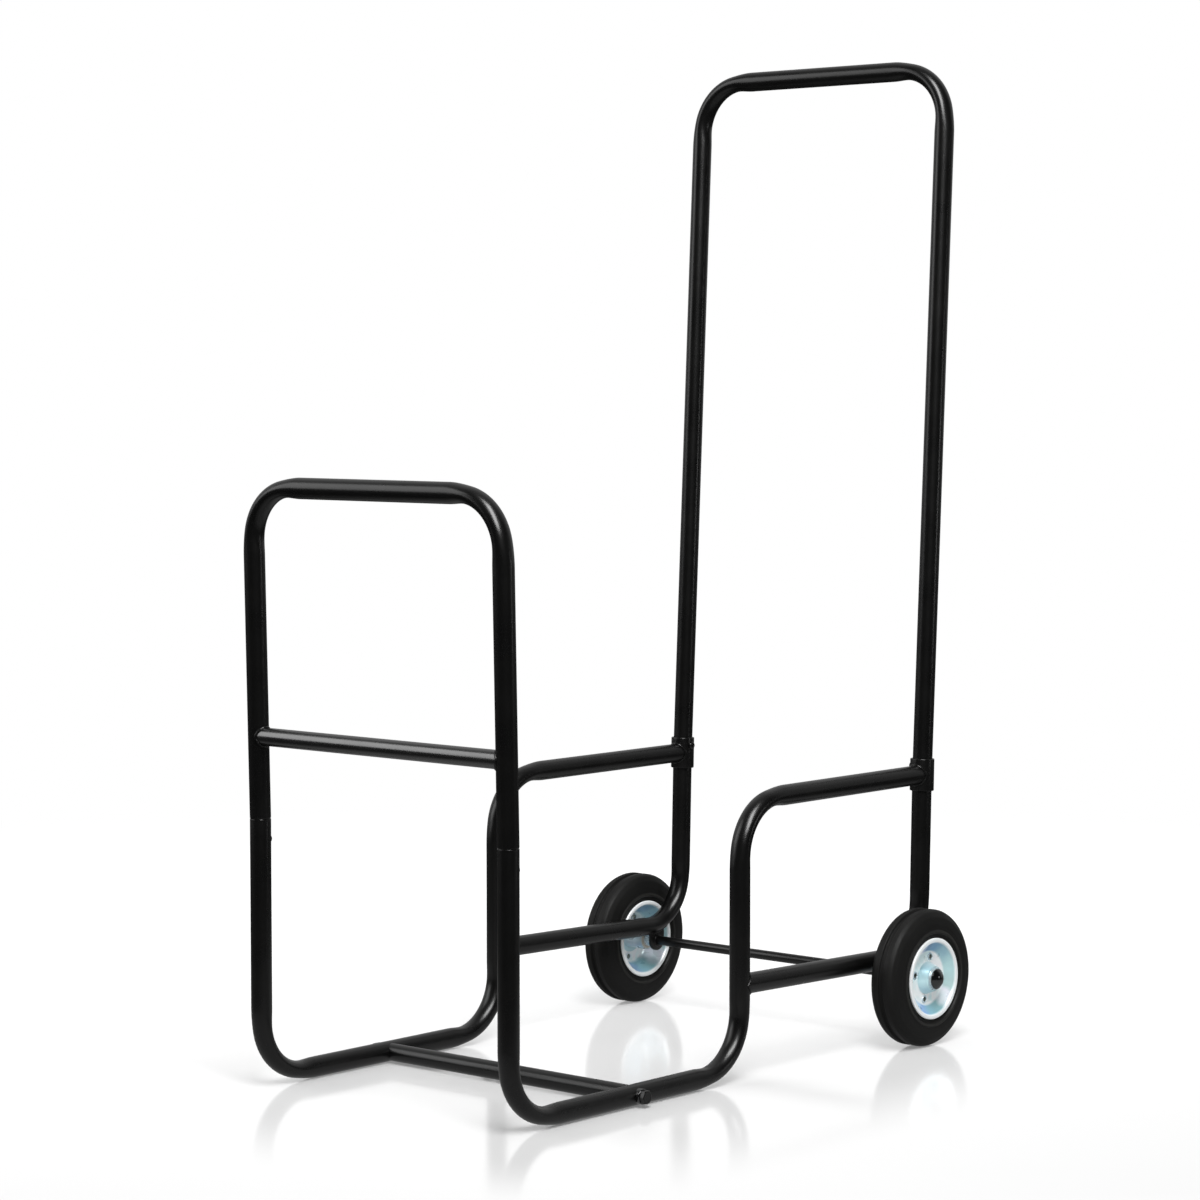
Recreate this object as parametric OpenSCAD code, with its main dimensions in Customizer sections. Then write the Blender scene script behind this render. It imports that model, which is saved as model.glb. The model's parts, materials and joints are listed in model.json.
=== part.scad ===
// Fireside log cart: a bent-tube frame on two wheels, with a low log bay in front,
// a raised log shelf over the wheels and a tall push handle.
// +X runs to the rear, +Y to the right-hand side, +Z up. The origin is on the floor,
// under the middle of the whole cart.

/* [Frame] */
// Distance between the axes of the two side rails
frame_w = 348; // [300:1:420]
// Height of the front hoop's top tube, measured to its axis
hoop_z = 627; // [540:1:700]
// Height of the front crossbar's axis
crossbar_z = 369; // [320:1:480]
// Height of the joint between the front posts and the hoop
socket_z = 283; // [200:1:300]
// Distance from the front posts to the risers
bay_l = 361; // [300:1:420]
// Distance from the front posts to the rear posts, at shelf height
frame_l = 688; // [620:1:760]
// Height of the shelf rails' axes
shelf_z = 295; // [270:1:330]
// Height of the handle's top tube, measured to its axis
handle_z = 1083; // [950:1:1150]
// Height of the brace's corner under the rear post
brace_z = 93; // [92:1:100]

/* [Tube] */
// Outside diameter of the frame tube
tube_d = 22; // [20:0.5:25]
// Wall thickness of the frame tube
tube_wall = 1.2; // [1:0.1:2]
// Radius of the tube bends, measured to the tube's axis
bend_r = 60; // [48:1:70]
// Outside diameter of the front crossbar and the bottom cross tube
cross_d = 19; // [16:0.5:20]
// Length of the hoops' narrowed ends inside their sockets
spigot_l = 45; // [30:1:45]
// Outside diameter of the collars on the rear posts
collar_d = 27; // [26:0.5:30]
// Height of the collars on the rear posts
collar_h = 36; // [30:1:50]

/* [Leans] */
// Forward lean of the front hoop, degrees
hoop_lean = 1.3; // [0:0.1:1.3]
// Backward lean of the rear legs' posts, degrees
leg_lean = 1.4; // [1:0.1:2]
// Further backward lean of the handle above its collars, degrees
handle_kink = 1.4; // [0:0.1:1.5]

/* [Wheels] */
// Diameter of the wheels
wheel_d = 152; // [140:1:160]
// Distance from the front posts to the axle
axle_x = 640; // [630:1:650]
// Distance from a side rail's axis to the wheel's middle plane
wheel_offset = 34; // [33.5:0.5:45]
// Width of the tread
tread_w = 24; // [20:1:28]
// Width across the rim's lips
rim_w = 38; // [36:1:39]
// Outside diameter of the rim's lip
rim_d = 90; // [86:1:94]
// Outside diameter of the axle
axle_d = 11; // [10:0.5:12]
// Angle of the first rivet in the rim, degrees
rivet_angle = 77; // [0:1:89]

/* [Hidden] */
$fn = 64;

COATED = [0.07, 0.07, 0.075];
RUBBER = [0.09, 0.09, 0.09];
ZINC = [0.78, 0.84, 0.88];
NYLON = [0.85, 0.84, 0.8];
CAP = [0.04, 0.04, 0.045];

tube_r = tube_d / 2;
bore_r = tube_r - tube_wall;
half_w = frame_w / 2;
rail_z = tube_r;
wheel_r = wheel_d / 2;
axle_r = axle_d / 2;

// The cart's foremost and rearmost points set the middle of its length
hoop_top_x = -(hoop_z - socket_z) * tan(hoop_lean);
handle_lean = leg_lean + handle_kink;
handle_top_x = frame_l + (handle_z - shelf_z) * tan(handle_lean);
middle_x = (hoop_top_x + handle_top_x) / 2;

// Corner of the rear leg and the lengths of its two sides
leg_x = frame_l - (shelf_z - brace_z) * tan(leg_lean);
leg_h = (shelf_z - brace_z) / cos(leg_lean);
brace_l = leg_x - bay_l;
collar_r = collar_d / 2;
weld_gap = 0.05;

// Narrowed ends of the hoops, loose enough in their sockets to let the hoops lean
seam_gap = 1;
swage_l = 8;
swage_taper = 2;
spigot_r = bore_r - 1.2;
spigot_bore = spigot_r - tube_wall;
collar_play = 0.6;

// Bottom cross tube and its bolts
cross_x = 187;
bolt_r = 4;
bolt_head_d = 15;
bolt_head_h = 5.5;
washer_h = 3.5;
washer_r = 8;
bolt_reach = 30;
insert_l = 28;
insert_inset = 1;
insert_floor = 4;

// Screws that lock the hoops
screw_r = 2.4;
screw_head_r = 4.5;
screw_head_h = 2.6;
screw_play = 0.4;
hoop_screw_l = 6;
collar_screw_l = 5;
hoop_screw_drop = 22;
collar_screw_rise = 9;

// Axle brackets, spacers and washers
bracket_t = 4;
bracket_r = 12;
bracket_rise = 16;
spacer_r = 8;
axle_washer_r = 12.2;
axle_washer_t = 1.2;
cap_r = 11.2;
cap_h = 6.4;
cap_roof = 1.6;

// Wheel hub, measured outward from the wheel's middle plane
hub_r = 12.5;
hub_bore_r = 11;
hub_out = 20;
hub_in = 20.5;
bush_clearance = 0.05;
bush_l = 15;
side_play = 0.5;
cap_base = hub_out + side_play + axle_washer_t;
axle_end = wheel_offset + cap_base + cap_h - cap_roof;

// Stamped rim halves, riveted back to back; the outer one's neck holds the hub tube
sheet = 1.3;
dish_floor = 8.5;
floor_r = 29.2;
lip_w = rim_w / 2;
lip_r = rim_d / 2;
wall_r = lip_r - 4.8;
neck_r = 17.6;
neck_h = 10.6;
neck_lap = 3;
rivets = 4;
rivet_circle_r = 23.7;
rivet_r = 3.2;
rivet_head_r = 4.4;
rivet_head_h = 1.6;
rivet_hole_r = 2.1;

// Tyre: its bore, its foot between the rim halves and the groove between its ribs
tyre_bore_r = floor_r + 3;
foot_w = lip_w - 2.6;
half_tread = tread_w / 2;
groove = 2.5;
groove_depth = 2.6;

// ---------------------------------------------------------------- helpers

module in_frame() {
    translate([-middle_x, 0, 0]) children();
}

// Draws on the left side, or mirrored on the right side
module on_side(side) {
    if (side == "left") children();
    else mirror([0, 1, 0]) children();
}

module on_both_sides() {
    on_side("left") children();
    on_side("right") children();
}

function unit(v) = v / norm(v);
function heading(a, b) = atan2(b[0] - a[0], b[1] - a[1]);
function wrapped(a) = a > 180 ? a - 360 : (a < -180 ? a + 360 : a);
function turn(p, i) = wrapped(heading(p[i], p[i + 1]) - heading(p[i - 1], p[i]));
function trim(p, i) = i == 0 || i == len(p) - 1 ? 0 : bend_r * tan(abs(turn(p, i)) / 2);

module tube_section(od) {
    difference() {
        circle(d = od);
        circle(d = od - 2 * tube_wall);
    }
}

module straight_tube(length, od = tube_d) {
    linear_extrude(length) tube_section(od);
}

// Starts upward at the origin and turns towards +X
module tube_bend(angle) {
    translate([bend_r, 0, 0])
        rotate([90, 0, 180])
            rotate_extrude(angle = angle)
                translate([bend_r, 0])
                    tube_section(tube_d);
}

// A bent tube in the XZ plane through the corners p, each a point [x, z]
module bent_tube(p) {
    for (i = [0 : len(p) - 2]) {
        start = p[i] + unit(p[i + 1] - p[i]) * trim(p, i);
        length = norm(p[i + 1] - p[i]) - trim(p, i) - trim(p, i + 1);
        translate([start[0], 0, start[1]])
            rotate([0, heading(p[i], p[i + 1]), 0])
                straight_tube(length);
    }
    for (i = [1 : len(p) - 2]) {
        start = p[i] - unit(p[i] - p[i - 1]) * trim(p, i);
        translate([start[0], 0, start[1]])
            rotate([0, heading(p[i - 1], p[i]), 0])
                rotate([0, 0, turn(p, i) > 0 ? 0 : 180])
                    tube_bend(abs(turn(p, i)));
    }
}

// The narrowed end of a hoop's leg; its seam is at the origin
module swaged_end() {
    rotate_extrude()
        polygon([
            [spigot_bore, -spigot_l],
            [spigot_r, -spigot_l],
            [spigot_r, seam_gap],
            [tube_r, seam_gap],
            [tube_r, swage_l],
            [bore_r, swage_l],
            [bore_r, seam_gap + 2 * swage_taper],
            [spigot_bore, seam_gap + swage_taper]
        ]);
}

// An inverted U in the YZ plane; its seams are at z = 0
module hoop(height) {
    rotate([0, 0, 90])
        bent_tube([
            [-half_w, swage_l],
            [-half_w, height],
            [half_w, height],
            [half_w, swage_l]
        ]);
    for (y = [-half_w, half_w]) {
        translate([0, y, 0]) swaged_end();
    }
}

// Coordinates of a leaning tube whose axis crosses the shelf rails' axes at its origin
module on_rear_post(lean) {
    translate([frame_l, 0, shelf_z]) rotate([0, lean, 0]) children();
}

// Coordinates of the left wheel: +Z points outward along the axle
module on_wheel() {
    translate([axle_x, -half_w - wheel_offset, wheel_r]) rotate([90, 0, 0]) children();
}

module around_rivet_circle() {
    for (i = [0 : rivets - 1]) {
        rotate([0, 0, rivet_angle + i * 360 / rivets])
            translate([rivet_circle_r, 0, 0])
                children();
    }
}

// ---------------------------------------------------------------- frame

module side_rail(side) {
    color(COATED) in_frame() on_side(side) translate([0, -half_w, 0])
        difference() {
            bent_tube([
                [0, socket_z],
                [0, rail_z],
                [bay_l, rail_z],
                [bay_l, shelf_z],
                [frame_l, shelf_z]
            ]);
            on_rear_post(leg_lean)
                cylinder(r = collar_r + weld_gap, h = 2 * collar_h, center = true);
            translate([cross_x, 0, rail_z])
                rotate([90, 0, 0])
                    cylinder(r = bolt_r, h = 2 * tube_d, center = true);
            translate([tube_r, 0, socket_z - hoop_screw_drop])
                rotate([0, 90, 0])
                    cylinder(r = screw_r, h = tube_d, center = true);
        }
}

module rear_leg(side) {
    color(COATED) in_frame() on_side(side) translate([0, -half_w, 0])
        difference() {
            translate([leg_x, 0, brace_z])
                rotate([0, leg_lean, 0])
                    bent_tube([[-brace_l, 0], [0, 0], [0, leg_h]]);
            translate([bay_l, 0, rail_z]) cylinder(r = tube_r + weld_gap, h = shelf_z);
        }
}

module post_collar(side) {
    color(COATED) in_frame() on_side(side) translate([0, -half_w, 0]) on_rear_post(leg_lean)
        difference() {
            cylinder(r = collar_r, h = collar_h, center = true);
            cylinder(r = tube_r, h = 2 * collar_h, center = true);
            cylinder(r = tube_r + collar_play, h = collar_h);
            translate([0, collar_r, collar_screw_rise])
                rotate([90, 0, 0])
                    cylinder(r = screw_r, h = tube_r, center = true);
        }
}

module front_hoop() {
    color(COATED) in_frame() translate([0, 0, socket_z]) rotate([0, -hoop_lean, 0])
        difference() {
            hoop((hoop_z - socket_z) / cos(hoop_lean));
            for (y = [-half_w, half_w]) {
                translate([spigot_r, y, -hoop_screw_drop])
                    rotate([0, 90, 0])
                        cylinder(r = screw_r + screw_play, h = tube_r, center = true);
            }
        }
}

module front_crossbar() {
    crossbar_x = -(crossbar_z - socket_z) * tan(hoop_lean);
    color(COATED) in_frame()
        difference() {
            translate([crossbar_x, half_w, crossbar_z])
                rotate([90, 0, 0])
                    straight_tube(frame_w, cross_d);
            for (y = [-half_w, half_w]) {
                translate([0, y, socket_z])
                    rotate([0, -hoop_lean, 0])
                        cylinder(r = tube_r + weld_gap, h = hoop_z - socket_z);
            }
        }
}

module handle_hoop() {
    color(COATED) in_frame() on_rear_post(handle_lean)
        difference() {
            hoop((handle_z - shelf_z) / cos(handle_lean));
            for (y = [-half_w, half_w]) {
                translate([0, y - sign(y) * tube_r, collar_screw_rise])
                    rotate([90, 0, 0])
                        cylinder(r = screw_r + screw_play, h = tube_r, center = true);
            }
        }
}

module bottom_cross_tube() {
    color(COATED) in_frame()
        difference() {
            translate([cross_x, half_w, rail_z])
                rotate([90, 0, 0])
                    straight_tube(frame_w, cross_d);
            for (y = [-half_w, half_w]) {
                translate([0, y, rail_z])
                    rotate([0, 90, 0])
                        cylinder(r = tube_r + weld_gap, h = bay_l);
            }
        }
}

// Steel plugs in the ends of the cross tube, drilled for the bolts
module cross_tube_inserts() {
    insert_out = half_w - tube_r - insert_inset;
    color(ZINC) in_frame() on_both_sides()
        translate([cross_x, -insert_out + insert_l, rail_z])
            rotate([90, 0, 0])
                difference() {
                    cylinder(d = cross_d - 2 * tube_wall, h = insert_l);
                    translate([0, 0, insert_floor]) cylinder(r = bolt_r, h = insert_l);
                }
}

module cross_tube_bolts() {
    shank_l = tube_r + washer_h + bolt_reach;
    color(COATED) in_frame() on_both_sides()
        translate([cross_x, -half_w - tube_r - washer_h, rail_z])
            rotate([90, 0, 0]) {
                cylinder(d = bolt_head_d, h = bolt_head_h, $fn = 6);
                translate([0, 0, -shank_l]) cylinder(r = bolt_r, h = shank_l);
            }
}

// Spacers with a flat face for the bolt head and a hollow face for the round rail
module curved_washers() {
    color(CAP) in_frame() on_both_sides()
        difference() {
            translate([cross_x, -half_w, rail_z])
                rotate([90, 0, 0])
                    cylinder(r = washer_r, h = tube_r + washer_h);
            translate([cross_x, -half_w, rail_z])
                rotate([0, 90, 0])
                    cylinder(r = tube_r, h = 4 * washer_r, center = true);
            translate([cross_x, -half_w, rail_z])
                rotate([90, 0, 0])
                    cylinder(r = bolt_r, h = tube_d);
        }
}

module screw(length) {
    cylinder(r = screw_head_r, h = screw_head_h);
    translate([0, 0, -length]) cylinder(r = screw_r, h = length);
}

module hoop_screws() {
    color(COATED) in_frame() on_both_sides()
        translate([tube_r, -half_w, socket_z - hoop_screw_drop])
            rotate([0, 90, 0])
                screw(hoop_screw_l);
}

module collar_screws() {
    color(COATED) in_frame() on_both_sides() translate([0, -half_w, 0]) on_rear_post(leg_lean)
        translate([0, collar_r, collar_screw_rise])
            rotate([-90, 0, 0])
                screw(collar_screw_l);
}

// ---------------------------------------------------------------- axle

// The room that the rear leg takes up, as far as its bend
module leg_envelope() {
    leg_r = tube_r + weld_gap;
    translate([leg_x, -half_w, brace_z]) rotate([0, leg_lean, 0]) {
        translate([-bend_r, 0, 0]) rotate([0, -90, 0]) cylinder(r = leg_r, h = brace_l);
        translate([-bend_r, 0, bend_r])
            rotate([90, 0, 0])
                rotate_extrude()
                    translate([bend_r, 0])
                        circle(r = leg_r);
    }
}

// A plate under the brace, shaped to it at the top and drilled for the axle
module axle_bracket(side) {
    color(COATED) in_frame() on_side(side)
        difference() {
            translate([axle_x, -half_w + bracket_t / 2, wheel_r])
                rotate([90, 0, 0])
                    linear_extrude(bracket_t)
                        union() {
                            circle(r = bracket_r);
                            translate([-bracket_r, 0]) square([2 * bracket_r, bracket_rise]);
                        }
            translate([axle_x, -half_w, wheel_r])
                rotate([90, 0, 0])
                    cylinder(r = axle_r, h = 2 * bracket_t, center = true);
            leg_envelope();
        }
}

module axle() {
    color(COATED) in_frame()
        translate([axle_x, half_w + axle_end, wheel_r])
            rotate([90, 0, 0])
                cylinder(r = axle_r, h = 2 * (half_w + axle_end));
}

module ring(outer_r, height) {
    difference() {
        cylinder(r = outer_r, h = height);
        translate([0, 0, -1]) cylinder(r = axle_r, h = height + 2);
    }
}

module axle_spacers() {
    spacer_l = wheel_offset - hub_in - side_play - bracket_t / 2;
    color(ZINC) in_frame() on_both_sides() on_wheel()
        translate([0, 0, -hub_in - side_play - spacer_l])
            ring(spacer_r, spacer_l);
}

module axle_washers() {
    color(ZINC) in_frame() on_both_sides() on_wheel()
        translate([0, 0, hub_out + side_play])
            ring(axle_washer_r, axle_washer_t);
}

// A domed cup pressed on to the axle's end
module hub_cap(side) {
    color(CAP) in_frame() on_side(side) on_wheel()
        difference() {
            translate([0, 0, cap_base])
                rotate_extrude()
                    polygon([
                        [0, 0],
                        [cap_r, 0],
                        [cap_r, cap_h - 2.6],
                        [cap_r - 0.8, cap_h - 1.2],
                        [cap_r - 2.4, cap_h - 0.4],
                        [cap_r - 6, cap_h],
                        [0, cap_h]
                    ]);
            cylinder(r = axle_r, h = cap_base + cap_h - cap_roof);
        }
}

// ---------------------------------------------------------------- wheels

module tyre(side) {
    color(RUBBER) in_frame() on_side(side) on_wheel()
        rotate_extrude()
            polygon([
                [tyre_bore_r, dish_floor - 0.1],
                [lip_r - 3.6, foot_w],
                [lip_r + 0.4, foot_w],
                [lip_r + 4.6, lip_w - 1.6],
                [lip_r + 6, lip_w],
                [lip_r + 8, lip_w],
                [lip_r + 9.4, lip_w - 1],
                [wheel_r - 12, lip_w - 1.2],
                [wheel_r - 5, lip_w - 3.6],
                [wheel_r - 1.4, half_tread + 1.2],
                [wheel_r, half_tread - 1],
                [wheel_r, groove + 1],
                [wheel_r - groove_depth, groove],
                [wheel_r - groove_depth, -groove],
                [wheel_r, -groove - 1],
                [wheel_r, -half_tread + 1],
                [wheel_r - 1.4, -half_tread - 1.2],
                [wheel_r - 5, -lip_w + 3.6],
                [wheel_r - 12, -lip_w + 1.2],
                [lip_r + 9.4, -lip_w + 1],
                [lip_r + 8, -lip_w],
                [lip_r + 6, -lip_w],
                [lip_r + 4.6, -lip_w + 1.6],
                [lip_r + 0.4, -foot_w],
                [lip_r - 3.6, -foot_w],
                [tyre_bore_r, 3.2]
            ]);
}

// The neck drawn up round the hub tube from the floor of the outer half rim
function neck(depth) = [
    [neck_r - 1, -depth - sheet],
    [hub_r, neck_h - neck_lap - depth],
    [hub_r, neck_h - depth],
    [hub_r + sheet, neck_h - depth],
    [neck_r, 1 - depth],
    [neck_r + 0.8, -depth]
];

// Section of a pressed half rim from its centre to its rolled lip; the lip's top is at
// zero and the floor's outer face is depth below it
module rim_section(depth, centre) {
    polygon(concat(centre, [
        [floor_r, -depth],
        [wall_r, -0.8],
        [wall_r + 1, 0],
        [lip_r - 1, 0],
        [lip_r, -0.9],
        [lip_r, -2.3],
        [lip_r - 1.2, -2.3],
        [lip_r - 1.4, -1.4],
        [wall_r + 1.6, -1.4],
        [wall_r + 0.9, -2.1],
        [floor_r + 0.6, -depth - sheet]
    ]));
}

module rivet_holes() {
    around_rivet_circle() cylinder(r = rivet_r, h = 4 * rim_w, center = true);
}

module rim_outer(side) {
    depth = lip_w - dish_floor;
    color(ZINC) in_frame() on_side(side) on_wheel()
        difference() {
            translate([0, 0, lip_w])
                rotate_extrude()
                    rim_section(depth, neck(depth));
            rivet_holes();
        }
}

module rim_inner(side) {
    depth = lip_w + dish_floor - 2 * sheet;
    color(ZINC) in_frame() on_side(side) on_wheel()
        difference() {
            rotate([180, 0, 0])
                translate([0, 0, lip_w])
                    rotate_extrude()
                        rim_section(depth, [[hub_r, -depth - sheet], [hub_r, -depth]]);
            rivet_holes();
        }
}

module hub_tube(side) {
    color(ZINC) in_frame() on_side(side) on_wheel()
        translate([0, 0, -hub_in])
            difference() {
                cylinder(r = hub_r, h = hub_in + hub_out);
                translate([0, 0, -1]) cylinder(r = hub_bore_r, h = hub_in + hub_out + 2);
            }
}

module bush() {
    difference() {
        cylinder(r = hub_bore_r, h = bush_l);
        translate([0, 0, -1]) cylinder(r = axle_r + bush_clearance, h = bush_l + 2);
    }
}

module hub_bushes(side) {
    color(NYLON) in_frame() on_side(side) on_wheel() {
        translate([0, 0, hub_out - bush_l]) bush();
        translate([0, 0, -hub_in]) bush();
    }
}

// Hollow rivets that clamp the two halves of a rim together
module rim_rivets(side) {
    floors_back = dish_floor - 2 * sheet;
    color(ZINC) in_frame() on_side(side) on_wheel() around_rivet_circle()
        difference() {
            union() {
                translate([0, 0, floors_back - rivet_head_h])
                    cylinder(r = rivet_r, h = 2 * sheet + 2 * rivet_head_h);
                translate([0, 0, dish_floor]) cylinder(r = rivet_head_r, h = rivet_head_h);
                translate([0, 0, floors_back - rivet_head_h])
                    cylinder(r = rivet_head_r, h = rivet_head_h);
            }
            translate([0, 0, dish_floor - sheet]) cylinder(r = rivet_hole_r, h = 4 * sheet);
        }
}

// ---------------------------------------------------------------- assembly

side_rail("left");  // side_rail_left
side_rail("right");  // side_rail_right
rear_leg("left");  // rear_leg_left
rear_leg("right");  // rear_leg_right
post_collar("left");  // post_collar_left
post_collar("right");  // post_collar_right
front_hoop();
front_crossbar();
handle_hoop();
bottom_cross_tube();
cross_tube_inserts();
cross_tube_bolts();
curved_washers();
hoop_screws();
collar_screws();
axle_bracket("left");  // axle_bracket_left
axle_bracket("right");  // axle_bracket_right
axle();
axle_spacers();
axle_washers();
hub_cap("left");  // hub_cap_left
hub_cap("right");  // hub_cap_right
tyre("left");  // tyre_left
tyre("right");  // tyre_right
rim_outer("left");  // rim_outer_left
rim_outer("right");  // rim_outer_right
rim_inner("left");  // rim_inner_left
rim_inner("right");  // rim_inner_right
hub_tube("left");  // hub_tube_left
hub_tube("right");  // hub_tube_right
hub_bushes("left");  // hub_bushes_left
hub_bushes("right");  // hub_bushes_right
rim_rivets("left");  // rim_rivets_left
rim_rivets("right");  // rim_rivets_right
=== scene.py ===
"""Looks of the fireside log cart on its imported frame: tubes, collars, welds, fasteners and wheels.

Lengths are in millimetres until a mesh is made, and repeat part.scad's values: X from the front
posts to the rear, Y to the right-hand side, Z up. Side -1 is left and 1 is right. Materials, floor,
lamps and camera are in metres.
"""

import json
import math
import random

import bmesh
import bpy
from mathutils import Matrix, Vector


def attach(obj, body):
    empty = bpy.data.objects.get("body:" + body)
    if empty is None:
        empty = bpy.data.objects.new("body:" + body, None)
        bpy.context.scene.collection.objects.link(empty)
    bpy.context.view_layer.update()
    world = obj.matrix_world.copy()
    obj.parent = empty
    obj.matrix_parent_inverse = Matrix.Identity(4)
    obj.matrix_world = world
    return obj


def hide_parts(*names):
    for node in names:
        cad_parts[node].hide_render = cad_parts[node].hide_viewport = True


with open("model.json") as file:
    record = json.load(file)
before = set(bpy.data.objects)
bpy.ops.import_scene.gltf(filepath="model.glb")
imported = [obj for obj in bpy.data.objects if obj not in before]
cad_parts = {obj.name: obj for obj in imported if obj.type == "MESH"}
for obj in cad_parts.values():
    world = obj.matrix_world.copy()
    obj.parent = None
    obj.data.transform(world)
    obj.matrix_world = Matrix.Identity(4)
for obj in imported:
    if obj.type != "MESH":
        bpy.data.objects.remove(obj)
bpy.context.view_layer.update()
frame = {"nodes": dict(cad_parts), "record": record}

# ---------------------------------------------------------------- sizes from part.scad

HALF_W = 174.0
HOOP_Z, CROSSBAR_Z, SOCKET_Z = 627.0, 369.0, 283.0
BAY_L, FRAME_L, SHELF_Z, HANDLE_Z, BRACE_Z = 361.0, 688.0, 295.0, 1083.0, 93.0
TUBE_R, BORE_R, SPIGOT_R, CROSS_R = 11.0, 9.8, 8.6, 9.5
BEND_R = 60.0
COLLAR_R, COLLAR_H, COLLAR_PLAY = 13.5, 36.0, 0.6
HOOP_LEAN, LEG_LEAN, HANDLE_LEAN = (math.radians(a) for a in (1.3, 1.4, 2.8))
AXLE_X, WHEEL_R, WHEEL_OFFSET, AXLE_R = 640.0, 76.0, 34.0, 5.5
CROSS_X = 187.0
RIVET_ANGLE, RIVET_CIRCLE_R, RIVETS = math.radians(77), 23.7, 4
HUB_R, HUB_BORE_R, HUB_OUT, HUB_IN = 12.5, 11.0, 20.0, 20.5
LIP_R, LIP_W, DISH_FLOOR, FLOOR_R, SHEET = 45.0, 19.0, 8.5, 29.2, 1.3
NECK_R, NECK_H = 17.6, 10.6
CAP_BASE, CAP_R, CAP_H = 21.7, 11.2, 6.4

HOOP_TOP_X = -(HOOP_Z - SOCKET_Z) * math.tan(HOOP_LEAN)
HANDLE_TOP_X = FRAME_L + (HANDLE_Z - SHELF_Z) * math.tan(HANDLE_LEAN)
MIDDLE_X = (HOOP_TOP_X + HANDLE_TOP_X) / 2
CROSSBAR_X = -(CROSSBAR_Z - SOCKET_Z) * math.tan(HOOP_LEAN)
LEG_X = FRAME_L - (SHELF_Z - BRACE_Z) * math.tan(LEG_LEAN)
LEG_H = (SHELF_Z - BRACE_Z) / math.cos(LEG_LEAN)
BRACE_L = LEG_X - BAY_L

# ---------------------------------------------------------------- sizes of the scene alone

MM = 0.001
SIDES = ((-1, "left"), (1, "right"))
RISER_FOOT_R, RISER_TOP_R, HOOP_BEND_R, HANDLE_BEND_R = 63.0, 62.0, 56.5, 58.0
COPE_DEPTH = 0.4  # a coped end stands this far inside the tube that it meets
WASHER_FACE = 14.5  # from the floor rail's axis to the seat of a bolt's head

# ---------------------------------------------------------------- mesh helpers


def loft(rings, wrap=False, closed=True):
    """A solid's points and faces from rings of equally many points.

    wrap joins the last ring to the first one, and closed a ring's last point to its first.
    """
    n = len(rings[0])
    points = [Vector(p) for ring in rings for p in ring]
    faces = []
    for k in range(len(rings) if wrap else len(rings) - 1):
        for j in range(n if closed else n - 1):
            a, b = k * n, (k + 1) % len(rings) * n
            i = (j + 1) % n
            faces.append((a + j, a + i, b + i, b + j))
    return points, faces


def join(*solids):
    points, faces = [], []
    for p, f in solids:
        faces += [tuple(i + len(points) for i in face) for face in f]
        points += p
    return points, faces


def moved(solid, matrix):
    return [matrix @ p for p in solid[0]], solid[1]


def mirrored(solid):
    return [Vector((p.x, -p.y, p.z)) for p in solid[0]], solid[1]


def both_sides(solid):
    return join(solid, mirrored(solid))


def on_side(solid, side):
    """A solid drawn for the left side, mirrored where side is the right one."""
    return solid if side < 0 else mirrored(solid)


def circle(steps):
    """Angles of equally spaced points round a circle."""
    return [2 * math.pi * k / steps for k in range(steps)]


def rounded(corners, closed=True, steps=5):
    """Rounds a profile's corners. Each is (radius, height), or has the corner's radius as a third number."""
    straight, share = 1.56, 0.48  # a straight run's half angle, and how much of an edge a corner may take
    out = []
    for i, corner in enumerate(corners):
        here = Vector(corner[:2])
        r = corner[2] if len(corner) > 2 else 0
        if not r or (not closed and i in (0, len(corners) - 1)):
            out.append(here)
            continue
        back = Vector(corners[i - 1][:2]) - here
        on = Vector(corners[(i + 1) % len(corners)][:2]) - here
        half = back.angle(on, math.pi) / 2
        if half > straight:
            out.append(here)
            continue
        cut = min(r / math.tan(half), share * back.length, share * on.length)
        start, end = here + back.normalized() * cut, here + on.normalized() * cut
        middle = here + (back.normalized() + on.normalized()).normalized() * cut / math.cos(half)
        a, b = start - middle, end - middle
        turn = a.angle(b)
        for k in range(steps + 1):
            t = k / steps
            out.append(middle + (a * math.sin((1 - t) * turn) + b * math.sin(t * turn)) / math.sin(turn))
    return out


def lathe(profile, steps=96, closed=True, relief=None):
    """Turns a profile of (radius, height) round Z. relief(x, y) is added to the height."""
    rings = []
    for a in circle(steps):
        ring = []
        for r, h in profile:
            x, y = r * math.cos(a), r * math.sin(a)
            ring.append((x, y, h + (relief(x, y) if relief else 0)))
        rings.append(ring)
    return loft(rings, wrap=True, closed=closed)


def turned(rings, steps=48, wrap=False):
    """Rings round Z, each a (radius, height) or a function of the angle that returns one."""
    out = []
    for ring in rings:
        points = []
        for a in circle(steps):
            r, h = ring(a) if callable(ring) else ring
            points.append((r * math.cos(a), r * math.sin(a), h))
        out.append(points)
    return loft(out, wrap)


def smooth(t):
    t = min(max(t, 0.0), 1.0)
    return t * t * (3 - 2 * t)


def straight_ramp(t):
    """Rises from 0 at t = -1 to 1 at t = 1 in a straight line."""
    return min(max((t + 1) / 2, 0.0), 1.0)


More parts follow.
